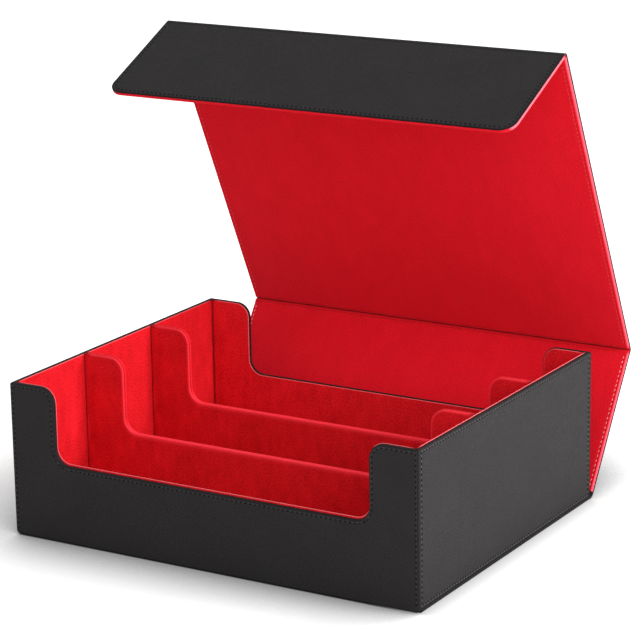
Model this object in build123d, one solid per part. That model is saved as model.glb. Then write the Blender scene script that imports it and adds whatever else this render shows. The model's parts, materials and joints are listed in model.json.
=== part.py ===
from build123d import *
import os
from math import cos, radians, sin

# A rigid storage box for cards: an open tray with three rows, and a flip-top lid of three
# boards that wraps round the back, over the top and down the front, where magnets hold it.
# Every board is covered: smooth black leather outside, red suede lining inside.
# Millimetres. X runs along the front, Y from front to back, Z up from the table.
# The origin is at the centre of the tray's underside. The lid is drawn half open.

os.makedirs("parts", exist_ok=True)

# ---- Overall sizes ----
box_width = 320.0            # outside of the left wall to outside of the right wall
box_depth = 254.0            # outside of the front wall to outside of the back wall
box_height = 110.0           # table to the top of the walls

# ---- Sheet thicknesses ----
leather = 0.9
lining = 0.6
wall_board = 2.0             # walls, tray floor and the three lid boards
base_board = 1.5             # the stiffener under the tray
divider_board = 3.0

# ---- Finger cut-outs of the front wall, the back wall and both dividers ----
ear_width = 36.5             # full-height part beside each cut-out, from the box's outside
low_height = 56.0            # table to the lower edge of a cut-out
ear_radius = 11.0            # round shoulder at the top of each ear
notch_radius = 11.0          # round inner corner at the foot of each ear

# ---- Lid ----
closed_gap = 0.4             # between the lid's inside and the tray when it is shut
flap_length = 91.0           # from the flap's fold to its free edge
flap_corner = 11.0           # rounding of the flap's two free corners
back_rest = 56.0             # direction of each lid board at rest, in degrees:
top_rest = 115.5             # 0 is straight back, 90 is straight up
flap_rest = 205.5
rear_fold_radius = 6.5       # outside rounding of the covering at each fold, at rest
upper_fold_radius = 3.0
flap_fold_radius = 3.0

# ---- Edges and corners ----
panel_corner = 1.5           # corners of a covered wall, seen square on
foot_corner = 3.0            # lower corners of the front wall
front_lift = 0.3             # table to the lower edge of the front wall
leather_edge = 1.2           # rounding of the outer edges of a covered wall
base_edge = 0.8              # rounding of the base's long side edges
turn_edge = 0.5              # rounding of the lid lining where it turns over an edge
lid_leather_edge = 0.5       # rounding of the lid leather's outer edges
rim_edge = 0.3               # rounding of the wall lining's top edge
divider_edge = 0.5           # rounding of the divider lining's top edge
divider_slit = 0.3           # between the two linings along a divider's top edge

# ---- Magnets ----
magnet_diameter = 12.0
magnet_thickness = 1.5
magnet_count = 4
magnet_pitch = 70.0          # between neighbouring magnets, along X
magnet_height = 38.0         # table to the magnets' centres, with the lid shut
pocket_clearance = 0.1       # round each magnet in its pocket

# ---- Worked out from the sizes above ----
covered = leather + wall_board               # outer leather and board
panel = covered + lining                     # a wall or a lid board with both coverings
fold_gap = panel + closed_gap                # from a fold's line to the board beside it
base_thickness = leather + base_board
floor_board_top = base_thickness + wall_board
floor_top = floor_board_top + lining
divider_thickness = divider_board + 2 * lining

half_width = box_width / 2
half_depth = box_depth / 2
inner_half_width = half_width - panel
inner_half_depth = half_depth - panel
ear_edge = half_width - ear_width
row_width = (2 * inner_half_depth - 2 * divider_thickness) / 3
front_divider_y = -inner_half_depth + row_width + divider_thickness / 2
rear_divider_y = -front_divider_y

back_length = box_height + fold_gap          # fold line to fold line
top_length = box_depth + 2 * fold_gap
rear_fold = (half_depth + fold_gap, 0.0)     # Y and Z of each fold line at rest


def along(start, angle, distance):
    """The point a distance from start in the YZ plane, in the given direction."""
    y = start[0] + distance * cos(radians(angle))
    z = start[1] + distance * sin(radians(angle))
    return (y, z)


upper_fold = along(rear_fold, back_rest, back_length)
flap_fold = along(upper_fold, top_rest, top_length)


# ---- Helpers ----

def block(x, y, z):
    """A box from its low and high limits on each axis."""
    size = (x[1] - x[0], y[1] - y[0], z[1] - z[0])
    centre = ((x[0] + x[1]) / 2, (y[0] + y[1]) / 2, (z[0] + z[1]) / 2)
    return Pos(*centre) * Box(*size)


def across(face, y):
    """A face drawn in X and Z, extruded from the first Y to the second."""
    plane = Plane(origin=(0, y[1], 0), x_dir=(1, 0, 0), z_dir=(0, -1, 0))
    return extrude(plane * face, amount=y[1] - y[0])


def save(node, shape):
    """Write one named piece."""
    shape.label = node
    export_step(shape, f"parts/{node}.step")


# ---- Walls and dividers with a finger cut-out ----

def wall_face(half, bottom, inset=0.0, corner=0.0, foot=0.0):
    """The outline of a wall with its cut-out, drawn in X and Z.

    inset shrinks the top edge and the cut-out's edge. corner rounds the two upper outer
    corners, and foot the two lower ones.
    """
    top = box_height - inset
    edge = ear_edge + inset
    low = low_height - inset
    shoulder = ear_radius - inset
    notch = notch_radius + inset
    points = [(half, bottom), (half, top), (edge, top), (edge, low),
              (-edge, low), (-edge, top), (-half, top), (-half, bottom)]
    radii = [foot, corner, shoulder, notch, notch, shoulder, corner, foot]
    return make_face(FilletPolyline(*points, radius=radii, close=True))


def end_wall(side, name, bottom, foot):
    """The front wall (side -1) or the back wall (side 1): board, leather and lining.

    bottom is the height of its lower edge, and foot the rounding of its lower corners.
    """
    outside = side * half_depth
    leather_inner = side * (half_depth - leather)
    board_inner = side * (half_depth - covered)
    lining_inner = side * (half_depth - panel)

    def span(a, b):
        return (min(a, b), max(a, b))

    outer_face = wall_face(half_width, bottom, 0.0, panel_corner, foot)
    board_face = wall_face(half_width - leather, bottom + leather, leather,
                           panel_corner - leather, foot - leather)
    board = across(board_face, span(leather_inner, board_inner))
    cover = across(outer_face, span(outside, board_inner))
    outer_side = cover.faces().sort_by(Axis.Y)[0 if side < 0 else -1]
    cover = fillet(outer_side.edges(), leather_edge)
    cover = cover - board
    inner_face = wall_face(inner_half_width, floor_board_top)
    sheet = across(inner_face, span(board_inner, lining_inner))
    inner_side = sheet.faces().sort_by(Axis.Y)[-1 if side < 0 else 0]
    sheet = fillet(rim_edges(inner_side), rim_edge)
    if side < 0:
        board = board - magnet_pockets(-half_depth + leather)
    save(f"{name}_board", board)
    save(f"{name}_leather", cover)
    save(f"{name}_lining", sheet)


def rim_edges(face):
    """The edges of a wall face along its top and its cut-out, without its ends and foot."""
    kept = []
    for edge in face.edges():
        middle = edge @ 0.5
        if middle.Z > low_height - 1 and abs(middle.X) < inner_half_width - 0.01:
            kept.append(edge)
    return kept


def side_wall(side, name):
    """The left wall (side -1) or the right wall (side 1), between the end walls."""
    def span(a, b):
        return (min(side * a, side * b), max(side * a, side * b))

    length = (-half_depth + covered, half_depth - covered)
    board = block(span(half_width - leather, half_width - covered), length,
                  (base_thickness + leather, box_height - leather))
    cover = block(span(half_width, half_width - covered), length, (base_thickness, box_height))
    outer_side = cover.faces().sort_by(Axis.X)[0 if side < 0 else -1]
    cover = fillet(outer_side.edges().filter_by(Axis.Y), leather_edge)
    cover = cover - board
    sheet = block(span(half_width - covered, half_width - panel), length,
                  (floor_board_top, box_height))
    inner_side = sheet.faces().sort_by(Axis.X)[-1 if side < 0 else 0]
    top_edge = inner_side.edges().filter_by(Axis.Y).sort_by(Axis.Z)[-1]
    sheet = fillet(top_edge, rim_edge)
    save(f"{name}_board", board)
    save(f"{name}_leather", cover)
    save(f"{name}_lining", sheet)


def divider(middle, name):
    """A fixed divider: a board between two lining sheets turned over its top edge."""
    half_board = divider_board / 2
    half_all = divider_thickness / 2
    board_face = wall_face(inner_half_width, floor_top, lining)
    sheet_face = wall_face(inner_half_width, floor_top)
    board = across(board_face, (middle - half_board, middle + half_board))
    save(f"{name}_board", board)
    for side, place in ((-1, "front"), (1, "rear")):
        faces = sorted((middle + side * half_all, middle + side * divider_slit / 2))
        sheet = across(sheet_face, faces)
        outer_side = sheet.faces().sort_by(Axis.Y)[0 if side < 0 else -1]
        sheet = fillet(rim_edges(outer_side), divider_edge)
        save(f"{name}_{place}_lining", sheet - board)


# ---- Floor and base ----

def floor_and_base():
    """The tray's floor, and the covered base board, which reaches from wall to fold under it."""
    floor = block((-half_width + covered, half_width - covered),
                  (-half_depth + covered, half_depth - covered),
                  (base_thickness, floor_board_top))
    save("floor_board", floor)
    sheet = block((-inner_half_width, inner_half_width), (-inner_half_depth, inner_half_depth),
                  (floor_board_top, floor_top))
    save("floor_lining", sheet)

    length = (-half_depth + covered, half_depth)
    cover = block((-half_width, half_width), length, (0, base_thickness))
    cover = fillet(cover.edges().filter_by(Axis.Y), base_edge)
    board = block((-half_width + leather, half_width - leather), length,
                  (leather, base_thickness))
    save("base_board", board)
    save("base_leather", cover - board)


# ---- Magnets ----

def magnet_discs(middle, radius, thickness):
    """A row of upright discs, their axes along Y, centred on X."""
    first = -magnet_pitch * (magnet_count - 1) / 2
    discs = []
    for index in range(magnet_count):
        place = Pos(first + index * magnet_pitch, middle, magnet_height)
        discs.append(place * Rot(90, 0, 0) * Cylinder(radius, thickness))
    return discs


def magnet_pockets(face_y):
    """The pockets of the front wall's magnets, sunk from the board's outer face."""
    middle = face_y + magnet_thickness / 2
    pockets = magnet_discs(middle, magnet_diameter / 2 + pocket_clearance, magnet_thickness)
    return Compound(children=pockets)


def front_magnets():
    """The front wall's magnets, flush with the board's outer face."""
    middle = -half_depth + leather + magnet_thickness / 2
    discs = magnet_discs(middle, magnet_diameter / 2, magnet_thickness)
    save("front_magnets", Compound(children=discs))


# ---- Lid boards ----

def at_rest(shape, fold, angle):
    """Turn a lid piece, drawn flat with its fold on the X axis, to its resting place."""
    return Pos(0, fold[0], fold[1]) * Rot(angle, 0, 0) * shape


def lid_slab(inset, near, far, low, high, free_corner):
    """A flat slab of a lid board: near and far along Y, low and high along Z."""
    half = half_width - inset
    slab = block((-half, half), (near, far), (low, high))
    if free_corner:
        far_corners = slab.edges().filter_by(Axis.Z).sort_by(Axis.Y)[-2:]
        slab = fillet(far_corners, free_corner - inset)
    return slab


def lid_board(name, fold, angle, near, far, free_corner=0.0, pocket_y=None):
    """One lid board with its leather and its lining, which is turned over all four edges."""
    board = lid_slab(lining, near + lining, far - lining, leather, covered, free_corner)
    cover = lid_slab(0.0, near, far, 0.0, leather, free_corner)
    sheet = lid_slab(0.0, near, far, leather, panel, free_corner)
    cover_edges = outer_edges(cover.faces().sort_by(Axis.Z)[0], near, far, free_corner)
    cover = fillet(cover_edges, lid_leather_edge)
    sheet_edges = outer_edges(sheet.faces().sort_by(Axis.Z)[-1], near, far, free_corner)
    sheet = fillet(sheet_edges, turn_edge)
    sheet = sheet - board
    if pocket_y is not None:
        board = board - Compound(children=lid_discs(pocket_y, pocket_clearance))
    save(f"{name}_board", at_rest(board, fold, angle))
    save(f"{name}_leather", at_rest(cover, fold, angle))
    save(f"{name}_lining", at_rest(sheet, fold, angle))


def outer_edges(face, near, far, free_corner):
    """A slab face's side edges, and its far end where that is a free edge."""
    kept = []
    for edge in face.edges():
        middle = edge @ 0.5
        at_fold = abs(middle.Y - near) < 0.01
        at_next_fold = abs(middle.Y - far) < 0.01 and not free_corner
        if not at_fold and not at_next_fold:
            kept.append(edge)
    return kept


def lid_discs(middle_y, clearance=0.0):
    """The flap's magnets, or their pockets, flush with the board's inner face."""
    first = -magnet_pitch * (magnet_count - 1) / 2
    discs = []
    for index in range(magnet_count):
        place = Pos(first + index * magnet_pitch, middle_y, covered - magnet_thickness / 2)
        discs.append(place * Cylinder(magnet_diameter / 2 + clearance, magnet_thickness))
    return discs


def lid():
    """The back panel, the top panel and the flap."""
    lid_board("back_panel", rear_fold, back_rest, fold_gap, back_length - fold_gap)
    lid_board("top_panel", upper_fold, top_rest, fold_gap, top_length - fold_gap)
    magnet_y = back_length - magnet_height
    lid_board("flap", flap_fold, flap_rest, fold_gap, flap_length, flap_corner, magnet_y)
    discs = Compound(children=lid_discs(magnet_y))
    save("flap_magnets", at_rest(discs, flap_fold, flap_rest))


# ---- Folds ----

def fold_strip(fold, angle_in, angle_out, radius, low, high):
    """A strip across one fold, from the board before it to the board after it.

    low and high are the strip's depths below the covering's outside.
    """
    turn = angle_out - angle_in
    inward = (angle_in + angle_out) / 2 + 90

    def line(depth):
        start = along(along(fold, angle_in, -fold_gap), angle_in + 90, depth)
        corner = along(fold, inward, depth / cos(radians(turn / 2)))
        end = along(along(fold, angle_out, fold_gap), angle_out + 90, depth)
        return [start, corner, end]

    outer = line(low)
    inner = line(high)
    outer_line = FilletPolyline(*outer, radius=radius - low)
    inner_line = FilletPolyline(*inner, radius=radius - high)
    face = make_face([outer_line, Line(outer[2], inner[2]), inner_line, Line(inner[0], outer[0])])
    plane = Plane(origin=(-half_width, 0, 0), x_dir=(0, 1, 0), z_dir=(1, 0, 0))
    return extrude(plane * face, amount=box_width)


def folds():
    """The leather and the lining across each of the three folds."""
    rows = [("rear", rear_fold, 0.0, back_rest, rear_fold_radius),
            ("upper", upper_fold, back_rest, top_rest, upper_fold_radius),
            ("flap", flap_fold, top_rest, flap_rest, flap_fold_radius)]
    for name, fold, angle_in, angle_out, radius in rows:
        hide = fold_strip(fold, angle_in, angle_out, radius, 0.0, leather)
        sheet = fold_strip(fold, angle_in, angle_out, radius, leather, leather + lining)
        save(f"{name}_fold_leather", hide)
        save(f"{name}_fold_lining", sheet)


floor_and_base()
end_wall(-1, "front_wall", front_lift, foot_corner)
end_wall(1, "back_wall", base_thickness, panel_corner)
side_wall(-1, "left_wall")
side_wall(1, "right_wall")
divider(front_divider_y, "front_divider")
divider(rear_divider_y, "rear_divider")
front_magnets()
lid()
folds()
print(f"row width {row_width:.2f}, room above the floor {box_height - floor_top:.2f}")
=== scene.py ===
"""The looks of a leather-covered storage box with a flip-top lid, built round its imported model.

Lengths in this script are millimetres until a mesh is made, and MM turns them into metres. Only
the camera, the lamps and the floor are given in metres.
X runs along the front wall, Y from front to back and Z up from the table.
"""

import json
import math
from collections import namedtuple

import bpy
from mathutils import Matrix, Vector


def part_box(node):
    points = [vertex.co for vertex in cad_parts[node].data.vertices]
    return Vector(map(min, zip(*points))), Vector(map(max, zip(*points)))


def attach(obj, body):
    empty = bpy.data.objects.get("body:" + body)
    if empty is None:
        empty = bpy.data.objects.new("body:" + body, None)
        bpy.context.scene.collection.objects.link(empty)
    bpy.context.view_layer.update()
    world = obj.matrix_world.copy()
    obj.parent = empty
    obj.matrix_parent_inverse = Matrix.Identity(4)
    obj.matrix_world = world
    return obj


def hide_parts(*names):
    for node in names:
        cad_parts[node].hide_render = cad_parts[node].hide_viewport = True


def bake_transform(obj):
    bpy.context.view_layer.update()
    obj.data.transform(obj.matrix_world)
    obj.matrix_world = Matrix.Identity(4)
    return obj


MM = 0.001
WHITE = (1.0, 1.0, 1.0, 1.0)
BLACK = (0.0, 0.0, 0.0, 1.0)

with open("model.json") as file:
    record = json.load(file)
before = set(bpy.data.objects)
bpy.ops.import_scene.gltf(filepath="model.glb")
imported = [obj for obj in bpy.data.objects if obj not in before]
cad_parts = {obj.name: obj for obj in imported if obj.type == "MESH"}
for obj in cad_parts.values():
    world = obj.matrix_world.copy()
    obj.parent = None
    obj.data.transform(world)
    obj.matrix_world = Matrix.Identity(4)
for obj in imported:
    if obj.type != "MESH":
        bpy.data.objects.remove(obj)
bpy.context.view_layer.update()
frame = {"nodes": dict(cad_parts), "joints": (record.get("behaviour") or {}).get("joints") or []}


def millimetres(node):
    """The lowest and highest corner of a CAD node at rest, in millimetres."""
    low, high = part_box(node)
    return low / MM, high / MM


# ---- Sizes taken from the frame ----
front_low, front_high = millimetres("front_wall_leather")
back_low = millimetres("back_wall_leather")[0]
floor_low, floor_high = millimetres("floor_lining")
base_low, base_high = millimetres("base_leather")
half_width = front_high.x
half_depth = -front_low.y
box_height = front_high.z
covered = front_high.y - front_low.y            # leather and board
leather = millimetres("base_board")[0].z
lining = floor_high.z - floor_low.z
panel_depth = covered + lining                  # leather, board and lining
base_thickness = base_high.z
floor_board_top = floor_low.z
floor_top = floor_high.z
inner_half_width = half_width - panel_depth

# ---- Sizes that the frame's boxes don't show ----
ear_edge = 123.5             # middle of the box to the side of a cut-out
low_height = 56.0            # table to the lower edge of a cut-out
ear_radius = 11.0            # rounding of a cut-out's upper corners
notch_radius = 11.0          # rounding of its lower corners
panel_corner = 1.5           # rounding of a wall's own corners
foot_corner = 3.0            # rounding of the front wall's lower corners
flap_corner = 11.0           # rounding of the flap's two free corners
flap_length = 91.0           # the flap's fold line to its free edge
flap_rest = 205.5            # direction of the flap at rest, in degrees, 90 is straight up
leather_edge = 1.2           # rounding of the edge of a wall's leather
base_edge = 0.8              # rounding of the edge of the base's leather
rear_fold_radius = 6.5       # outside of each fold at rest
upper_fold_radius = 3.0
flap_fold_radius = 3.0
divider_slit = 0.3           # gap between the two lining sheets on a divider's edge
# how far the leather of each lid board stands out past its lining
lid_ledges = {"back_panel": 0.5, "top_panel": 0.5, "flap": 0.1}
# how far each wall's lining stands up past its leather
rim_rises = {"front_wall": 0.35, "right_wall": 0.35, "back_wall": -0.55, "left_wall": -0.55}
front_low_rise = 1.0         # how far the front lining stands up at its cut-out's lower edge

# ---- Seams ----
stitch_pitch = 3.6           # wanted distance from one stitch to the next
wall_seam = 2.4              # a wall's edge to its line of stitches
side_pull = 1.2              # how much nearer to its ends a side wall's upright seams lie
lid_seams = {"back_panel": 2.9, "top_panel": 3.5, "flap": 2.9}         # the same for the lid
wall_channel = (0.6, 0.3)    # half the width and the depth of what a seam draws in
lid_channel = (0.8, 0.3)
lid_inner_channel = (0.9, -0.5)
least_dip = 0.1              # share of that depth that is left between two stitches
stitch_slant = 0.5           # how far a stitch of a whole pitch would lean across its seam
mesh_step = stitch_pitch / 4
coarse_step = 6.0            # for linings, which have no seam
coarsest_step = 8.0          # for the floor and the base

# ---- Painted shade in hollows, from 0 to 1 ----
hollow_shade = 0.8           # in inner corners and under the stitches
deep_shade = 0.7             # on the turned edges of the lid and of the back wall's ends
base_shade = 0.55            # round the base
edge_shade = 0.35            # on the other turned edges
end_margin = 1.0             # how near a lining's ends its edge is hidden and gets no wear and painted highlight
face_depth = 0.3             # what lies less deep than this is a sheet's outer face

# ---- Light and floor, in metres ----
sky_far = 0.12               # the world's level behind the box
sky_near = 0.95              # the world's level in front of the box
lamps = (                    # name, place, aim, size and watts
    ("key", (2.0, 0.28, 0.85), (0.0, 0.0, 0.08), 0.9, 40.0),
    ("back", (1.0, 1.8, 1.3), (0.0, 0.0, 0.08), 1.0, 16.0),
    ("fill", (1.0, -1.1, 0.8), (0.0, 0.05, 0.15), 0.9, 8.0),
)
floor_reach = 12.0
floor_level = -0.0004        # just below the box, so that the two don't meet
floor_white = (0.9, 0.9, 0.9, 1.0)
floor_glow = 0.62            # what is added to the floor for the camera, 1 is white
lit_glow = 0.25              # painted light added as well to the right of the box
lit_span = (0.11, 0.19)      # X where the painted shadow starts and ends to fade out to the right
shade_reach = 0.14           # how far away a thing still darkens the floor, a painted shadow
shade_towards = (0.62, 0.7, 0.35)               # the direction in which it stands
shadow_power = 1.9           # how much that deepens the painted shadow

# ---- Fold lines, from the joints ----
joint_at = {joint["name"]: joint["pos_m"] for joint in frame["joints"]}


def fold_line(joint):
    """Y and Z of a fold line."""
    return Vector((joint_at[joint][1], joint_at[joint][2])) / MM


def direction(start, end):
    """The direction from one fold line to the next, in degrees from +Y towards +Z."""
    return math.degrees(math.atan2(end.y - start.y, end.x - start.x))


rear_fold = fold_line("rear_fold_hinge")
upper_fold = fold_line("upper_fold_hinge")
flap_fold = fold_line("flap_fold_hinge")
back_rest = direction(rear_fold, upper_fold)
top_rest = direction(upper_fold, flap_fold)
back_length = (upper_fold - rear_fold).length
top_length = (flap_fold - upper_fold).length
fold_gap = rear_fold.x - half_depth


# ---- Camera ----

def set_camera():
    """The camera at the photograph's place and angle."""
    place = (0.94651, -1.55583, 0.64563)
    azimuth, elevation, roll = 30.958, 15.414, -0.906
    camera = bpy.data.cameras.new("camera")
    camera.lens = 153.49
    camera.sensor_width = 36.0
    camera.clip_end = 50.0
    holder = bpy.data.objects.new("camera", camera)
    turn = Matrix.Rotation(math.radians(azimuth), 4, "Z")
    tilt = Matrix.Rotation(math.radians(90 - elevation), 4, "X")
    level = Matrix.Rotation(math.radians(roll), 4, "Z")
    holder.matrix_world = Matrix.Translation(place) @ turn @ tilt @ level
    bpy.context.scene.collection.objects.link(holder)
    bpy.context.scene.camera = holder


# ---- Materials ----

def colour(code):
    """A linear colour from a six-digit hexadecimal code."""
    channels = []
    for start in (0, 2, 4):
        value = int(code[start:start + 2], 16) / 255
        channels.append(value / 12.92 if value <= 0.04045 else ((value + 0.055) / 1.055) ** 2.4)
    return (*channels, 1.0)


def plug(tree, node, inputs):
    """Give a node's inputs their values. Where the value is a socket, it is linked."""
    for name, value in inputs.items():
        if isinstance(value, bpy.types.NodeSocket):
            tree.links.new(value, node.inputs[name])
        else:
            node.inputs[name].default_value = value


def add(tree, kind, inputs=None, **settings):
    """A new shader node with its settings and its inputs."""
    node = tree.nodes.new(kind)
    for name, value in settings.items():
        setattr(node, name, value)
    plug(tree, node, inputs or {})
    return node


def new_material(name):
    """A new material, its node tree and its surface shader."""
    material = bpy.data.materials.new(name)
    material.use_nodes = True
    tree = material.node_tree
    return material, tree, tree.nodes["Principled BSDF"]


def combine(tree, operation, first, second):
    """The result of an operation on two numbers."""
    return add(tree, "ShaderNodeMath", {0: first, 1: second}, operation=operation).outputs[0]


def mix_numbers(tree, share, first, second):
    """A number that goes from first to second as share goes from 0 to 1."""
    return add(tree, "ShaderNodeMix", {0: share, 2: first, 3: second}).outputs[0]


def mix_colours(tree, share, first, second, blend="MIX"):
    """A colour that share turns from first to second, or to their product."""
    return add(tree, "ShaderNodeMix", {0: share, 6: first, 7: second}, data_type="RGBA",
               blend_type=blend).outputs[2]


def between(tree, value, low, high, start=0.0, end=1.0):
    """A number that goes from low to high as value goes from start to end."""
    return add(tree, "ShaderNodeMapRange", {"Value": value, "From Min": start, "From Max": end,
                                            "To Min": low, "To Max": high}).outputs[0]


def noise(tree, place, size, detail=3.0, stretch=(1, 1, 1)):
    """Soft noise from 0 to 1, with features of about size millimetres."""
    scaled = add(tree, "ShaderNodeMapping", {"Vector": place, "Scale": stretch})
    texture = add(tree, "ShaderNodeTexNoise", {"Vector": scaled.outputs[0],
                                               "Scale": 1 / (size * MM), "Detail": detail})
    return texture.outputs["Fac"]


def blend_colours(tree, factor, first, second, low=0.35, high=0.65):
    """A colour that goes from first to second as factor goes from low to high."""
    ramp = add(tree, "ShaderNodeValToRGB", {"Fac": factor})
    ramp.color_ramp.elements[0].position = low
    ramp.color_ramp.elements[0].color = first
    ramp.color_ramp.elements[1].position = high
    ramp.color_ramp.elements[1].color = second
    return ramp.outputs["Color"]


def bump(tree, height, millimetre, strength, before=None):
    """A surface normal from a height of 0 to 1 that stands for so many millimetres."""
    inputs = {"Height": height, "Distance": millimetre * MM, "Strength": strength}
    if before is not None:
        inputs["Normal"] = before
    return add(tree, "ShaderNodeBump", inputs).outputs["Normal"]


def crossed_ridges(tree, place, pitch):
    """Fine slanted ridges in two directions, as a height from 0 to 1."""
    heights = []
    for angle in (40, -50):
        turned = add(tree, "ShaderNodeMapping",
                     {"Vector": place, "Rotation": (0, 0, math.radians(angle))})
        wave = add(tree, "ShaderNodeTexWave",
                   {"Vector": turned.outputs[0], "Scale": math.tau / (20 * pitch * MM),
                    "Distortion": 1.0, "Detail": 2.0, "Detail Scale": 0.6})
        heights.append(wave.outputs["Fac"])
    return combine(tree, "MULTIPLY", *heights)


def wear_highlight_and_shade(tree, plain, spread, wear_and_highlight_colour):
    """The plain colour, turned lighter by wear and a painted highlight, and darker by painted
    shade.
    """
    # the dark colour that painted shade turns towards
    painted_shade_colour = (0.12, 0.12, 0.12, 1.0)
    wear_and_highlight = add(tree, "ShaderNodeAttribute", attribute_name="wear_and_highlight").outputs["Fac"]
    painted_shade = add(tree, "ShaderNodeAttribute", attribute_name="painted_shade").outputs["Fac"]
    share = combine(tree, "MULTIPLY", wear_and_highlight, spread)
    lighter = mix_colours(tree, share, plain, wear_and_highlight_colour)
    return mix_colours(tree, painted_shade, lighter, painted_shade_colour, "MULTIPLY")


def make_leather(name, dark, light, wear_and_highlight_colour):
    """Black coated leather with a fine crossed grain, a painted highlight and painted shade."""
    material, tree, surface = new_material(name)
    place = add(tree, "ShaderNodeTexCoord").outputs["UV"]
    cloud = noise(tree, place, 38.0)
    grain = crossed_ridges(tree, place, 1.3)
    pores = noise(tree, place, 0.45, 4.0)
    tone = mix_numbers(tree, 0.45, mix_numbers(tree, 0.55, cloud, pores), grain)
    plain = blend_colours(tree, tone, colour(dark), colour(light), 0.1, 0.7)
    spread = between(tree, pores, 0.3, 1.0)
    fine = bump(tree, pores, 0.05, 0.5)
    plug(tree, surface, {"Base Color": wear_highlight_and_shade(tree, plain, spread, colour(wear_and_highlight_colour)),
                         "Roughness": between(tree, noise(tree, place, 6.0), 0.47, 0.60),
                         "Normal": bump(tree, grain, 0.3, 0.85, fine),
                         "Specular IOR Level": 0.05})
    return material


def make_suede(name, dark, light, wear_and_highlight_colour, specks, fibre):
    """Red suede: a short nap, brushed lighter and darker in patches, worn and with a painted
    highlight at its edges, and with painted shade.

    specks is the share of the fine specks in what mottles it, and fibre is how strongly its nap
    stands out.
    """
    material, tree, surface = new_material(name)
    place = add(tree, "ShaderNodeTexCoord").outputs["UV"]
    clouds = noise(tree, place, 26.0, 4.0, (1.0, 0.6, 1.0))
    brushed = noise(tree, place, 7.0, 5.0, (1.0, 0.4, 1.0))
    nap = noise(tree, place, 1.0, 4.0)
    mottle = mix_numbers(tree, specks, mix_numbers(tree, 0.5, clouds, brushed), nap)
    plain = blend_colours(tree, mottle, colour(dark), colour(light), 0.36, 0.64)
    spread = between(tree, nap, 0.5, 1.3)
    hairs = noise(tree, place, 0.5, 3.0, (1.0, 0.5, 1.0))
    plug(tree, surface, {"Base Color": wear_highlight_and_shade(tree, plain, spread, colour(wear_and_highlight_colour)),
                         "Normal": bump(tree, hairs, 0.12, fibre),
                         "Roughness": 0.85, "Specular IOR Level": 0.08,
                         "Sheen Weight": 0.22, "Sheen Roughness": 0.45,
                         "Sheen Tint": (1.0, 0.16, 0.18, 1.0)})
    return material


def make_thread(name, dark, light, shine):
    """Twisted sewing thread."""
    material, tree, surface = new_material(name)
    place = add(tree, "ShaderNodeTexCoord").outputs["Object"]
    twist = noise(tree, place, 0.25, 2.0)
    plug(tree, surface, {"Base Color": blend_colours(tree, twist, colour(dark), colour(light)),
                         "Normal": bump(tree, twist, 0.05, 0.5),
                         "Roughness": 0.7, "Specular IOR Level": shine})
    return material


def make_board(name, dark, light):
    """Grey board, pressed from paper fibres."""
    material, tree, surface = new_material(name)
    place = add(tree, "ShaderNodeTexCoord").outputs["Object"]
    fibres = noise(tree, place, 1.6, 5.0)
    plug(tree, surface, {"Base Color": blend_colours(tree, fibres, colour(dark), colour(light)),
                         "Normal": bump(tree, fibres, 0.08, 0.5), "Roughness": 0.9})
    return material


def make_steel(name, plain):
    """The plated steel of the magnets."""
    material, tree, surface = new_material(name)
    place = add(tree, "ShaderNodeTexCoord").outputs["Object"]
    brushed = noise(tree, place, 0.6, 3.0, (1.0, 0.1, 1.0))
    plug(tree, surface, {"Base Color": colour(plain), "Metallic": 1.0,
                         "Normal": bump(tree, brushed, 0.02, 0.4),
                         "Roughness": between(tree, brushed, 0.25, 0.4)})
    return material


# ---- Panels and their outlines ----

class Panel:
    """A flat covered board's own axes: u across it, v up it, and depth in from its outside."""

    def __init__(self, origin, u, v, inward):
        self.origin = Vector(origin)
        self.u = Vector(u)
        self.v = Vector(v)
        self.inward = Vector(inward)

    def point(self, u, v, depth):
        return (self.origin + self.u * u + self.v * v + self.inward * depth) * MM


def lid_panel(fold, angle):
    """The axes of a lid board that leaves its fold in the given direction."""
    along = (0, math.cos(math.radians(angle)), math.sin(math.radians(angle)))
    inward = (0, -along[2], along[1])
    return Panel((0, fold.x, fold.y), (-1, 0, 0), along, inward)


class Outline:
    """A rounded outline of right-angled corners (u, v, radius), in order to the left.

    held names the edges, by number from the first corner, that keep an inset of their own.
    """

    arc_steps = 8
    least_radius = 0.05

    def __init__(self, corners, held=(), step=mesh_step):
        self.corners = corners
        self.held = held
        self.pieces = []
        for index, (u, v, radius) in enumerate(corners):
            after = corners[(index + 1) % len(corners)]
            straight = abs(after[0] - u) + abs(after[1] - v) - radius - after[2]
            self.pieces.append(max(1, round(straight / step)))

    def ring(self, inset, held_inset):
        """The outline's points, moved in by inset, and by held_inset at its held edges."""
        count = len(self.corners)
        points = []
        for index, (u, v, radius) in enumerate(self.corners):
            here = Vector((u, v))
            before = Vector(self.corners[index - 1][:2])
            after = Vector(self.corners[(index + 1) % count][:2])
            go_in = (here - before).normalized()
            go_out = (after - here).normalized()
            left_in = Vector((-go_in.y, go_in.x))
            left_out = Vector((-go_out.y, go_out.x))
            inset_in = held_inset if (index - 1) % count in self.held else inset
            inset_out = held_inset if index in self.held else inset
            corner = here + left_in * inset_in + left_out * inset_out
            convex = go_in.cross(go_out) > 0
            change = max(inset_in, inset_out)
            bend = max(radius - change if convex else radius + change, self.least_radius)
            side = left_in if convex else -left_in
            centre = corner - go_in * bend + side * bend
            for step in range(self.arc_steps + 1):
                turn = math.pi / 2 * step / self.arc_steps
                points.append(centre - side * bend * math.cos(turn) + go_in * bend * math.sin(turn))
        return self.divide(points)

    def divide(self, points):
        """The same ring with its straight edges cut into short pieces."""
        per_corner = self.arc_steps + 1
        divided = []
        for index, pieces in enumerate(self.pieces):
            arc = points[index * per_corner:(index + 1) * per_corner]
            following = points[(index + 1) * per_corner % len(points)]
            divided.extend(arc)
            for piece in range(1, pieces):
                divided.append(arc[-1].lerp(following, piece / pieces))
        return divided


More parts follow.
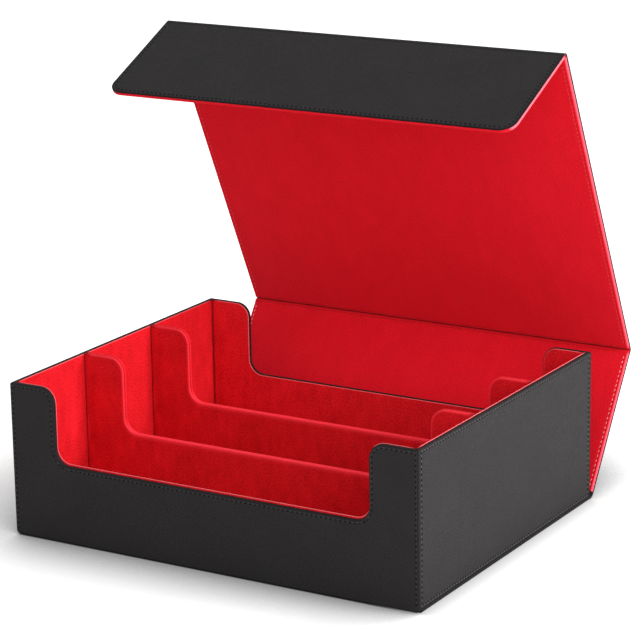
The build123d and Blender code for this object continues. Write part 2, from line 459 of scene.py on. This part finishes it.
def wall_outline(half, bottom, corner, foot, held=(), step=mesh_step, low=low_height):
    """The outline of a wall or divider with its finger cut-out."""
    corners = [(-half, bottom, foot), (half, bottom, foot), (half, box_height, corner),
               (ear_edge, box_height, ear_radius), (ear_edge, low, notch_radius),
               (-ear_edge, low, notch_radius), (-ear_edge, box_height, ear_radius),
               (-half, box_height, corner)]
    return Outline(corners, held, step)


def box_outline(u, v, corners=(0, 0, 0, 0), held=(), step=mesh_step):
    """A rectangle from its limits, with a radius for each corner."""
    places = [(u[0], v[0]), (u[1], v[0]), (u[1], v[1]), (u[0], v[1])]
    rounded = [(*place, radius) for place, radius in zip(places, corners)]
    return Outline(rounded, held, step)


# ---- Covering sheets ----

# A place on a sheet: where it is on its panel, how far in from the outline and how deep, and how
# much a stitch draws the sheet in there or leaves it raised between two, from 0 to 1.
Spot = namedtuple("Spot", "u v inset depth drawn raised")


def clamp(value):
    """The value, but not below 0 and not above 1."""
    return min(1.0, max(0.0, value))


def path_lengths(points):
    """How far along a closed ring each of its points lies, and the ring's whole length."""
    lengths = [0.0]
    for index in range(1, len(points)):
        lengths.append(lengths[-1] + (points[index] - points[index - 1]).length)
    return lengths, lengths[-1] + (points[0] - points[-1]).length


def stitch_length(whole):
    """The pitch nearest to the wanted one that fills a seam evenly."""
    return whole / round(whole / stitch_pitch)


def finish_mesh(name, vertices, faces, uvs, material, sharp=38, wear_and_highlight=None, painted_shade=None):
    """A new object from its parts, in the scene, with one material.

    sharp is the least angle of a sharp edge, in degrees. The last two give each vertex, from 0 to
    1, its wear with a painted highlight and its painted shade.
    """
    mesh = bpy.data.meshes.new(name)
    mesh.from_pydata(vertices, [], faces)
    for label, values in (("wear_and_highlight", wear_and_highlight), ("painted_shade", painted_shade)):
        if values:
            mesh.attributes.new(label, "FLOAT", "POINT").data.foreach_set("value", values)
    layer = mesh.uv_layers.new(name="uv")
    for loop in mesh.loops:
        layer.data[loop.index].uv = uvs[loop.vertex_index]
    mesh.materials.append(material)
    mesh.shade_smooth()
    mesh.set_sharp_from_angle(angle=math.radians(sharp))
    piece = bpy.data.objects.new(name, mesh)
    bpy.context.scene.collection.objects.link(piece)
    return piece


def sheet(name, panel, outline, section, material, seam=None, seam_here=None, wear_and_highlight_at=None,
          shade_at=None, pull=0.0):
    """A closed covering sheet, swept round an outline.

    section lists (inset, held inset, depth, dip) from the middle of one face, over the edge, to
    the middle of the other. dip is how far the seam pulls the sheet in, in its own direction.
    seam is the inset of the stitches, less pull at a held edge, and seam_here(u, v) says how
    much of a seam there is. The two after seam_here give the wear with a painted highlight, and
    the painted shade, of a Spot.
    """
    seam_ring = outline.ring(seam, seam - pull) if seam else outline.ring(0, 0)
    lengths, whole = path_lengths(seam_ring)
    pitch = stitch_length(whole)
    waves = []
    for place, length in zip(seam_ring, lengths):
        share = 0.0
        if seam:
            share = seam_here(place.x, place.y) if seam_here else 1.0
        wave = 0.5 - 0.5 * math.cos(math.tau * length / pitch)
        dipped = least_dip + (1 - least_dip) * wave
        waves.append((share * dipped, share * wave, share * (1 - wave)))
    vertices, uvs, wear_and_highlight, painted_shade = [], [], [], []
    walked = 0.0
    first_inset, first_held = section[0][0], section[0][1]
    for number, (inset, held_inset, depth, dip) in enumerate(section):
        if number:
            last = section[number - 1]
            walked += math.hypot(inset - last[0], depth - last[2])
        flat_ring = outline.ring(first_inset - walked, first_held - walked)
        ring = outline.ring(inset, held_inset)
        for place, flat, (dipped, drawn, raised) in zip(ring, flat_ring, waves):
            vertices.append(panel.point(place.x, place.y, depth + dip * dipped))
            uvs.append((flat.x * MM, flat.y * MM))
            spot = Spot(place.x, place.y, inset, depth, drawn, raised)
            wear_and_highlight.append(wear_and_highlight_at(spot) if wear_and_highlight_at else 0.0)
            painted_shade.append(shade_at(spot) if shade_at else 0.0)
    size = len(seam_ring)
    rings = len(section)
    faces = [tuple(range(size)), tuple(range(size * rings - 1, size * (rings - 1) - 1, -1))]
    for low in range(0, size * (rings - 1), size):
        high = low + size
        for index in range(size):
            after = (index + 1) % size
            faces.append((low + index, high + index, high + after, low + after))
    if section[-1][2] < section[0][2]:
        faces = [tuple(reversed(face)) for face in faces]
    if panel.u.cross(panel.v).dot(panel.inward) > 0:
        faces = [tuple(reversed(face)) for face in faces]
    return finish_mesh(name, vertices, faces, uvs, material, wear_and_highlight=wear_and_highlight, painted_shade=painted_shade)


def rim_wear_and_highlight(half, above, reach):
    """Wear and a painted highlight, fading with the distance from the free edges above this height.
    """
    def wear_and_highlight_at(spot):
        if spot.v < above or half - abs(spot.u) < end_margin:
            return 0.0
        return clamp(1.5 * (1.0 - spot.inset / reach))
    return wear_and_highlight_at


def divider_wear_and_highlight(spot):
    """Wear and a painted highlight along a divider's edge, reaching further down its face at the
    cut-out.
    """
    if spot.v < low_height - 10 or inner_half_width - abs(spot.u) < end_margin:
        return 0.0
    down = clamp((low_height + notch_radius - spot.v) / notch_radius)
    face_reach = 1.6 + 1.8 * down
    edge_reach = 2.2
    near = clamp(1.0 - spot.inset / face_reach)
    return (near * max(0.0, 1.0 - spot.depth / edge_reach * (1.0 - down))) ** 1.4


def seam_highlight(seam, most=0.3):
    """A painted highlight on the leather that stands up between two stitches."""
    offset, reach = 0.3, 0.4

    def wear_and_highlight_at(spot):
        near = abs(spot.inset - seam + offset) < reach and spot.depth < face_depth
        return most * spot.raised if near else 0.0
    return wear_and_highlight_at


def corner_shade(half, bottom):
    """Painted shade along the sides and the bottom of a lining, where it meets the next one."""
    reach = 1.7

    def shade_at(spot):
        return hollow_shade * max(0.0, 1.0 - min(half - abs(spot.u), spot.v - bottom) / reach)
    return shade_at


def base_edge_shade(spot):
    """Painted shade round the edge of the leather under the tray."""
    return base_shade if spot.inset < 1.0 else 0.0


def seam_shade(seam, end=None, turned_shade=edge_shade):
    """Painted shade where a stitch draws the leather in, on the turned edge, and further out than
    end.
    """
    turned = 0.9

    def shade_at(spot):
        if end is not None and abs(spot.u) > end:
            return deep_shade
        if spot.inset < turned:
            return turned_shade
        on_seam = abs(spot.inset - seam) < 0.05 and spot.depth < face_depth
        return hollow_shade * spot.drawn if on_seam else 0.0
    return shade_at


def rounding(radius, depth, inwards=1, held_radius=0.0):
    """The section of an edge's rounding, from the face at this depth to the side."""
    steps = 5
    rows = []
    for step in range(steps + 1):
        turn = math.pi / 2 * step / steps
        drop = radius * (1 - math.cos(turn))
        rows.append((radius * (1 - math.sin(turn)), held_radius * (1 - math.sin(turn)),
                     depth + inwards * drop, 0.0))
    return rows


def seam_section(seam, depth, width, dip, pull=0.0):
    """The section of the shallow channel that a line of stitches draws in."""
    rows = [(seam + width + 0.6, depth, 0.0), (seam + width, depth, 0.0),
            (seam + width / 2, depth, dip * 0.55), (seam, depth, dip),
            (seam - width / 2, depth, dip * 0.55), (seam - width, depth, 0.0)]
    return [(inset, inset - pull, level, drop) for inset, level, drop in rows]


# ---- Stitches ----

def along_ring(points, lengths, whole, distance):
    """The place and direction at a distance along a closed ring."""
    distance %= whole
    index = max(i for i, length in enumerate(lengths) if length <= distance)
    start = points[index]
    end = points[(index + 1) % len(points)]
    span = (end - start).length
    return start.lerp(end, (distance - lengths[index]) / span), (end - start) / span


def stitches(name, panel, outline, seam, depth, outwards, material, body, seam_here=None,
             thick=0.85, pull=0.0):
    """A line of single stitches along a seam, each one a short thread that dips in at its ends.

    rings lists its cross sections: share of the pitch from its middle, radius and lift.
    """
    seam_ring = outline.ring(seam, seam - pull)
    lengths, whole = path_lengths(seam_ring)
    pitch = stitch_length(whole)
    sides = 6
    rings = ((-0.33, 0.12, -0.30), (-0.28, 0.34, -0.05), (-0.12, 0.42, 0.08),
             (0.12, 0.42, 0.08), (0.28, 0.34, -0.05), (0.33, 0.12, -0.30))
    vertices, faces = [], []
    for number in range(round(whole / pitch)):
        middle = (number + 0.5) * pitch
        place = along_ring(seam_ring, lengths, whole, middle)[0]
        if seam_here and seam_here(place.x, place.y) < 0.5:
            continue
        first = len(vertices)
        for share, radius, lift in rings:
            place, heading = along_ring(seam_ring, lengths, whole, middle + share * pitch)
            across = Vector((-heading.y, heading.x))
            slant = share * stitch_slant
            for side in range(sides):
                turn = math.tau * side / sides
                spot = place + across * (radius * thick * math.cos(turn) + slant)
                level = depth + outwards * (lift + radius * thick * math.sin(turn))
                vertices.append(panel.point(spot.x, spot.y, level))
        last = first + sides * (len(rings) - 1)
        for low in range(first, last, sides):
            high = low + sides
            for side in range(sides):
                after = (side + 1) % sides
                faces.append((low + side, high + side, high + after, low + after))
        faces.append(tuple(range(first, first + sides)))
        faces.append(tuple(range(last + sides - 1, last - 1, -1)))
    uvs = [(vertex.x, vertex.y) for vertex in vertices]
    piece = finish_mesh(name, vertices, faces, uvs, material, sharp=80)
    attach(piece, body)
    return piece


def dress(piece, body, slot, *nodes):
    """Let a piece ride on its body and stand for its CAD nodes."""
    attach(piece, body)
    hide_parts(*nodes)


# ---- Tray ----

wall_panels = {
    "front_wall": Panel((0, -half_depth, 0), (1, 0, 0), (0, 0, 1), (0, 1, 0)),
    "back_wall": Panel((0, half_depth, 0), (-1, 0, 0), (0, 0, 1), (0, -1, 0)),
    "right_wall": Panel((half_width, 0, 0), (0, 1, 0), (0, 0, 1), (-1, 0, 0)),
    "left_wall": Panel((-half_width, 0, 0), (0, -1, 0), (0, 0, 1), (1, 0, 0)),
}


def leather_section(pull=0.0):
    """A wall's leather: seam, rounded edge, turned over the board's edge, and back inside."""
    chamfer = 0.15
    rows = seam_section(wall_seam, 0.0, *wall_channel, pull) + rounding(leather_edge, 0.0)
    rows += [(0.0, 0.0, covered - chamfer, 0.0), (chamfer, 0.0, covered, 0.0)]
    rows += [(leather, leather, covered, 0.0), (leather, leather, leather, 0.0)]
    return rows


def lining_section(rise):
    """A wall's lining, whose edge stands this far above the leather's."""
    rows = [(3.0, 3.0, panel_depth, 0.0), (1.7, 1.7, panel_depth, 0.0)]
    rows += [(inset - rise, held, depth, dip)
             for inset, held, depth, dip in rounding(0.45, panel_depth, -1)]
    rows += [(-rise, 0.0, covered + 0.1, 0.0), (0.2 + max(0.0, -rise), 0.0, covered, 0.0)]
    return rows


def end_wall(name, bottom, foot):
    """The leather and the lining of the front or back wall, with its stitches."""
    panel = wall_panels[name]

    def seam_here(u, v):
        return clamp((v - bottom - wall_seam - 0.6) / 1.5)

    outline = wall_outline(half_width, bottom, panel_corner, foot)
    shaded_from = half_width - 0.6 if name == "back_wall" else None
    cover = sheet(f"{name}_cover", panel, outline, leather_section(), black_leather, wall_seam,
                  seam_here, seam_highlight(wall_seam), seam_shade(wall_seam, shaded_from))
    dress(cover, "tray", "outer_leather", f"{name}_leather")
    threads = stitches(f"{name}_stitches", panel, outline, wall_seam, 0.2, -1, black_thread,
                       "tray", seam_here)
    rise = rim_rises[name]
    low_rise = front_low_rise if name == "front_wall" else 0.0
    inner = wall_outline(inner_half_width, floor_board_top, 0.0, 0.0, (0, 1, 7), coarse_step,
                         low_height + low_rise)
    suede = sheet(f"{name}_suede", panel, inner, lining_section(rise), red_suede,
                  wear_and_highlight_at=rim_wear_and_highlight(inner_half_width, low_height - 2, 0.5 - rise),
                  shade_at=corner_shade(inner_half_width, floor_top))
    dress(suede, "tray", "lining", f"{name}_lining")


def side_wall(name):
    """The leather and the lining of the left or right wall, with its stitches."""
    panel = wall_panels[name]
    half = half_depth - covered
    outline = box_outline((-half, half), (base_thickness, box_height), held=(1, 3))
    cover = sheet(f"{name}_cover", panel, outline, leather_section(side_pull), black_leather,
                  wall_seam, wear_and_highlight_at=seam_highlight(wall_seam, 0.7), shade_at=seam_shade(wall_seam),
                  pull=side_pull)
    dress(cover, "tray", "outer_leather", f"{name}_leather")
    threads = stitches(f"{name}_stitches", panel, outline, wall_seam, 0.2, -1, black_thread,
                       "tray", thick=1.05, pull=side_pull)
    rise = rim_rises[name]
    inner = box_outline((-half, half), (floor_board_top, box_height), held=(0, 1, 3),
                        step=coarse_step)
    suede = sheet(f"{name}_suede", panel, inner, lining_section(rise), red_suede,
                  wear_and_highlight_at=rim_wear_and_highlight(half, low_height, 0.5 - rise),
                  shade_at=corner_shade(half - lining, floor_top))
    dress(suede, "tray", "lining", f"{name}_lining")


def divider(name):
    """The two lining sheets of a divider, each turned over half of the board's top edge."""
    board_low, board_high = millimetres(f"{name}_board")
    middle = (board_low.y + board_high.y) / 2
    half_all = (board_high.y - board_low.y) / 2 + lining
    reach = half_all - divider_slit / 2
    outline = wall_outline(inner_half_width, floor_top, 0.0, 0.0, (0, 1, 7), coarse_step)
    section = [(4.5, 3.4, 0.0, 0.0), (3.0, 2.6, 0.0, 0.0), (1.8, 1.7, 0.0, 0.0)]
    section += rounding(0.7, 0.0, held_radius=0.6)
    section += [(0.0, 0.0, reach - 0.3, 0.0), (0.1, 0.0, reach - 0.08, 0.0),
                (0.25, 0.0, reach, 0.0), (lining, 0.0, reach, 0.0), (lining, 0.0, lining, 0.0)]
    for side, place in ((-1, "front"), (1, "rear")):
        panel = Panel((0, middle + side * half_all, 0), (-side, 0, 0), (0, 0, 1), (0, -side, 0))
        suede = sheet(f"{name}_{place}_suede", panel, outline, section, divider_suede,
                      wear_and_highlight_at=divider_wear_and_highlight, shade_at=corner_shade(inner_half_width, floor_top))
        dress(suede, "tray", "lining", f"{name}_{place}_lining")


def floor_and_base():
    """The lining of the tray's floor, and the leather under the tray."""
    floor = Panel((0, 0, floor_top), (1, 0, 0), (0, 1, 0), (0, 0, -1))
    outline = box_outline((floor_low.x, floor_high.x), (floor_low.y, floor_high.y),
                          step=coarsest_step)
    section = [(3.0, 3.0, 0.0, 0.0), (1.0, 1.0, 0.0, 0.0)] + rounding(0.3, 0.0)
    section += [(0.0, 0.0, lining, 0.0)]
    suede = sheet("floor_suede", floor, outline, section, red_suede)
    dress(suede, "tray", "lining", "floor_lining")

    under = Panel((0, 0, 0), (-1, 0, 0), (0, 1, 0), (0, 0, 1))
    outline = box_outline((base_low.x, base_high.x), (base_low.y, base_high.y), held=(0, 2),
                          step=coarsest_step)
    section = [(3.0, 1.0, 0.0, 0.0), (1.6, 0.5, 0.0, 0.0)] + rounding(base_edge, 0.0)
    section += reversed(rounding(base_edge, base_thickness, -1))
    section += [(leather, 0.0, base_thickness, 0.0), (leather, 0.0, leather, 0.0)]
    cover = sheet("base_cover", under, outline, section, black_leather, shade_at=base_edge_shade)
    dress(cover, "tray", "outer_leather", "base_leather")


# ---- Lid ----

def lid_board(name, fold, angle, far, free_end):
    """The leather and the lining of one lid board, with their stitches."""
    panel = lid_panel(fold, angle)
    seam = lid_seams[name]
    ledge = lid_ledges[name]
    corners = (0, 0, flap_corner, flap_corner) if free_end else (0, 0, 0, 0)
    held = (0,) if free_end else (0, 2)
    outline = box_outline((-half_width, half_width), (fold_gap, far), corners, held)

    def seam_here(u, v):
        from_fold = v - fold_gap if free_end else min(v - fold_gap, far - v)
        return clamp((from_fold - seam - 0.3) / 1.2)

    def side_wear_and_highlight(spot):
        """Wear and a painted highlight along both sides."""
        return clamp(1.0 - spot.inset / 1.2) if half_width - abs(spot.u) < 2.5 else 0.0

    def left_shade(spot):
        """Painted shade on the turned edge at the left side."""
        turned = half_width - spot.u < 0.8 and spot.depth < panel_depth - 0.1
        return deep_shade if turned else 0.0

    section = seam_section(seam, 0.0, *lid_channel) + rounding(0.3, 0.0)
    section += [(0.0, 0.0, leather, 0.0)]
    cover = sheet(f"{name}_cover", panel, outline, section, black_leather, seam, seam_here,
                  seam_highlight(seam), seam_shade(seam, turned_shade=deep_shade))
    dress(cover, name, "outer_leather", f"{name}_leather")
    threads = stitches(f"{name}_outer_stitches", panel, outline, seam, 0.2, -1, black_thread,
                       name, seam_here)

    section = seam_section(seam, panel_depth, *lid_inner_channel)
    section.append((1.5, 1.5, panel_depth + 0.12, 0.0))
    section += [(inset + ledge, held, depth, dip)
                for inset, held, depth, dip in rounding(1.0, panel_depth, -1, 0.4)]
    section += [(ledge, 0.0, leather, 0.0), (lining, lining, leather, 0.0),
                (lining, lining, covered, 0.0)]
    suede = sheet(f"{name}_suede", panel, outline, section, lid_suede, seam, seam_here, side_wear_and_highlight,
                  left_shade)
    dress(suede, name, "lining", f"{name}_lining")
    # the back panel's thread is the copy painted lighter, the others' the copy painted darker
    thread, thick = (lit_copy_thread, 0.75) if name == "back_panel" else (shaded_copy_thread, 0.6)
    threads = stitches(f"{name}_inner_stitches", panel, outline, seam, panel_depth - 0.3, 1,
                       thread, name, seam_here, thick)


def fold_stations(fold, angle_in, angle_out, radius):
    """Places along the outside of a fold, each with its inward direction."""
    turn = math.radians(angle_out - angle_in)
    tangent = radius * math.tan(turn / 2)

    def heading(angle):
        return Vector((math.cos(angle), math.sin(angle)))

    start, end = math.radians(angle_in), math.radians(angle_out)
    go_in, go_out = heading(start), heading(end)
    inward_in = heading(start + math.pi / 2)
    centre = fold - go_in * tangent + inward_in * radius
    stations = []
    for share in (1.0, 0.75, 0.5, 0.25):
        reach = tangent + (fold_gap - tangent) * share
        stations.append((fold - go_in * reach, inward_in))
    steps = 14
    for step in range(steps + 1):
        inward = heading(start + turn * step / steps + math.pi / 2)
        stations.append((centre - inward * radius, inward))
    for share in (0.25, 0.5, 0.75, 1.0):
        reach = tangent + (fold_gap - tangent) * share
        stations.append((fold + go_out * reach, heading(end + math.pi / 2)))
    return stations


def fold_strip(name, node, stations, profile_at, material, slot, bodies):
    """A strip of covering, curved round the fold between two boards.

    profile_at gives its section, as (x, depth) points, from 0 at the fold's middle to 1 at a board.
    """
    # painted shade along the middle of a fold's lining, fading towards the boards
    most_shade = 0.85 if slot == "lining" else 0.0
    walks = [0.0]
    for number in range(1, len(stations)):
        walks.append(walks[-1] + (stations[number][0] - stations[number - 1][0]).length)
    vertices, uvs, faces, painted_shade = [], [], [], []
    for (place, inward), walked in zip(stations, walks):
        from_crease = abs(2 * walked / walks[-1] - 1)
        profile = profile_at(from_crease)
        for x, depth in profile:
            spot = place + inward * depth
            vertices.append(Vector((x, spot.x, spot.y)) * MM)
            uvs.append((x * MM, walked * MM))
            painted_shade.append(most_shade * max(0.0, 1.0 - from_crease / 0.5))
    size = len(profile)
    for low in range(0, size * (len(stations) - 1), size):
        high = low + size
        for index in range(size):
            after = (index + 1) % size
            faces.append((low + index, low + after, high + after, high + index))
    faces.append(tuple(range(size - 1, -1, -1)))
    faces.append(tuple(range(len(vertices) - size, len(vertices))))
    piece = finish_mesh(name, vertices, faces, uvs, material, painted_shade=painted_shade)
    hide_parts(node)
    first_place, first_inward = stations[0]
    last_place, last_inward = stations[-1]
    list(bodies)
    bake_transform(piece)


def side_to_side(half, low, high, radius=0.02):
    """A strip's section from side to side, rounded at its outer side edges."""
    points = [(half, high)]
    for step in range(4):
        turn = math.pi / 2 * step / 3
        points.append((half - radius * (1 - math.cos(turn)), low + radius * (1 - math.sin(turn))))
    return points + [(-x, depth) for x, depth in reversed(points)]


def folds():
    """The leather and the lining across the three folds."""
    both = leather + lining
    leather_rounding = 0.3
    inner = half_width - 4.0        # where the rear fold's turned-in leather ends
    clearance = 0.05                # between that leather and the lining

    def leather_profile(from_crease):
        return side_to_side(half_width, 0.0, leather, leather_rounding)

    def turned_profile(from_crease):
        """The leather of the rear fold, whose ends are turned in over the lining's."""
        outside = side_to_side(half_width, 0.0, both, leather_rounding)
        return outside + [(-inner, both), (-inner, leather), (inner, leather), (inner, both)]

    def narrow_profile(from_crease):
        return side_to_side(inner - clearance, leather, both)

    def padded_profile(from_crease):
        """The lining across a fold, padded up to the boards and pressed thin in the middle."""
        swell = (panel_depth - both) * from_crease ** 1.2
        return side_to_side(half_width - lid_ledges["top_panel"], leather, both + swell)

    rows = [("rear", rear_fold, 0.0, back_rest, rear_fold_radius, ("tray", "back_panel"),
             turned_profile, narrow_profile),
            ("upper", upper_fold, back_rest, top_rest, upper_fold_radius,
             ("back_panel", "top_panel"), leather_profile, padded_profile),
            ("flap", flap_fold, top_rest, flap_rest, flap_fold_radius, ("top_panel", "flap"),
             leather_profile, padded_profile)]
    for name, fold, angle_in, angle_out, radius, bodies, outer, lined in rows:
        stations = fold_stations(fold, angle_in, angle_out, radius)
        fold_strip(f"{name}_fold_cover", f"{name}_fold_leather", stations, outer, black_leather,
                   "outer_leather", bodies)
        fold_strip(f"{name}_fold_suede", f"{name}_fold_lining", stations, lined, lid_suede,
                   "lining", bodies)


# ---- Boards and magnets, which the coverings hide ----

def finish_inner_nodes():
    """Give the boards and the magnets their materials."""
    for name, node in frame["nodes"].items():
        if name.endswith(("_board", "_magnets")):
            node.data.materials.clear()
            node.data.materials.append(magnet_steel if "magnets" in name else grey_board)


# ---- Stage ----

def background_rays(tree):
    """1 for a ray that meets the white background, straight on, in gloss or through glass."""
    rays = add(tree, "ShaderNodeLightPath").outputs
    bent = combine(tree, "MAXIMUM", rays["Is Glossy Ray"], rays["Is Transmission Ray"])
    return combine(tree, "MAXIMUM", rays["Is Camera Ray"], bent)


def make_floor():
    """A white floor that keeps the shadow and is white to the camera away from it.

    What stands near by towards the back and the right darkens its colour, a painted shadow,
    which fades out to the right of the box, where painted light is added.
    """
    material, tree, surface = new_material("white_floor")
    tree.nodes.remove(surface)
    near = add(tree, "ShaderNodeAmbientOcclusion",
               {"Distance": shade_reach, "Normal": shade_towards}, samples=8)
    place = add(tree, "ShaderNodeTexCoord").outputs["Object"]
    across = add(tree, "ShaderNodeSeparateXYZ", {"Vector": place}).outputs["X"]
    lit = between(tree, across, 0.0, 1.0, *lit_span)
    open_sky = combine(tree, "MAXIMUM", near.outputs["AO"], lit)
    shade = combine(tree, "POWER", open_sky, shadow_power)
    paper = add(tree, "ShaderNodeBsdfDiffuse",
                {"Color": blend_colours(tree, shade, BLACK, floor_white, 0.0, 1.0)})
    seen = combine(tree, "MULTIPLY", background_rays(tree), shade)
    glow_here = between(tree, lit, floor_glow, floor_glow + lit_glow)
    strength = combine(tree, "MULTIPLY", seen, glow_here)
    glow = add(tree, "ShaderNodeEmission", {"Color": WHITE, "Strength": strength})
    both = add(tree, "ShaderNodeAddShader", {0: paper.outputs[0], 1: glow.outputs[0]})
    plug(tree, tree.nodes["Material Output"], {"Surface": both.outputs[0]})

    mesh = bpy.data.meshes.new("floor")
    corners = [(x * floor_reach, y * floor_reach, floor_level)
               for x, y in ((-1, -1), (1, -1), (1, 1), (-1, 1))]
    mesh.from_pydata(corners, [], [(0, 1, 2, 3)])
    mesh.materials.append(material)
    floor = bpy.data.objects.new("floor", mesh)
    bpy.context.scene.collection.objects.link(floor)


def make_world():
    """White behind everything, and a soft light from all round that is stronger in front."""
    world = bpy.data.worlds.new("studio")
    bpy.context.scene.world = world
    world.use_nodes = True
    tree = world.node_tree
    tree.nodes.clear()
    place = add(tree, "ShaderNodeTexCoord").outputs["Generated"]
    forwards = add(tree, "ShaderNodeVectorMath", {0: place, 1: (0.35, -0.93, -0.1)},
                   operation="DOT_PRODUCT").outputs["Value"]
    level = between(tree, forwards, sky_far, sky_near, -1.0, 1.0)
    soft = add(tree, "ShaderNodeBackground", {"Color": WHITE, "Strength": level})
    white = add(tree, "ShaderNodeBackground", {"Color": WHITE, "Strength": 1.0})
    mixed = add(tree, "ShaderNodeMixShader", {0: background_rays(tree), 1: soft.outputs[0],
                                              2: white.outputs[0]})
    add(tree, "ShaderNodeOutputWorld", {"Surface": mixed.outputs[0]})


def area_lamp(name, place, aim, size, watts):
    """A square soft lamp that points from its place at its aim."""
    lamp = bpy.data.lights.new(name, "AREA")
    lamp.shape = "SQUARE"
    lamp.size = size
    lamp.energy = watts
    holder = bpy.data.objects.new(name, lamp)
    heading = Vector(aim) - Vector(place)
    holder.rotation_euler = heading.to_track_quat("-Z", "Y").to_euler()
    holder.location = place
    bpy.context.scene.collection.objects.link(holder)


def make_lamps():
    """A key from the right, one from behind that draws the shadow forwards, and a front fill."""
    for lamp in lamps:
        area_lamp(*lamp)


# ---- Make everything ----

black_leather = make_leather("black_leather", "222021", "343233", "6a6866")
red_suede = make_suede("red_suede", "b40912", "f6222f", "ff8a90", 0.65, 0.6)
divider_suede = make_suede("divider_suede", "a8080f", "e81b26", "ff3a4a", 0.6, 0.6)
lid_suede = make_suede("lid_suede", "ce101e", "ee1a2c", "ff7484", 0.75, 0.35)
black_thread = make_thread("black_thread", "040404", "0a0909", 0.1)
# two copies of the lid's one thread: a painted highlight on the back panel's, painted shade on the
# top panel's and the flap's
lit_copy_thread = make_thread("lit_copy_thread", "e4868a", "f8b0b2", 0.2)
shaded_copy_thread = make_thread("shaded_copy_thread", "c43a42", "e0686e", 0.2)
grey_board = make_board("grey_board", "8b8578", "a9a294")
magnet_steel = make_steel("magnet_steel", "c8c8cc")

set_camera()
floor_and_base()
end_wall("front_wall", front_low.z, foot_corner)
end_wall("back_wall", back_low.z, panel_corner)
side_wall("right_wall")
side_wall("left_wall")
divider("front_divider")
divider("rear_divider")
lid_board("back_panel", rear_fold, back_rest, back_length - fold_gap, False)
lid_board("top_panel", upper_fold, top_rest, top_length - fold_gap, False)
lid_board("flap", flap_fold, flap_rest, flap_length, True)
folds()
finish_inner_nodes()
make_floor()
make_world()
make_lamps()

view_settings = bpy.context.scene.view_settings
view_settings.view_transform = "Standard"
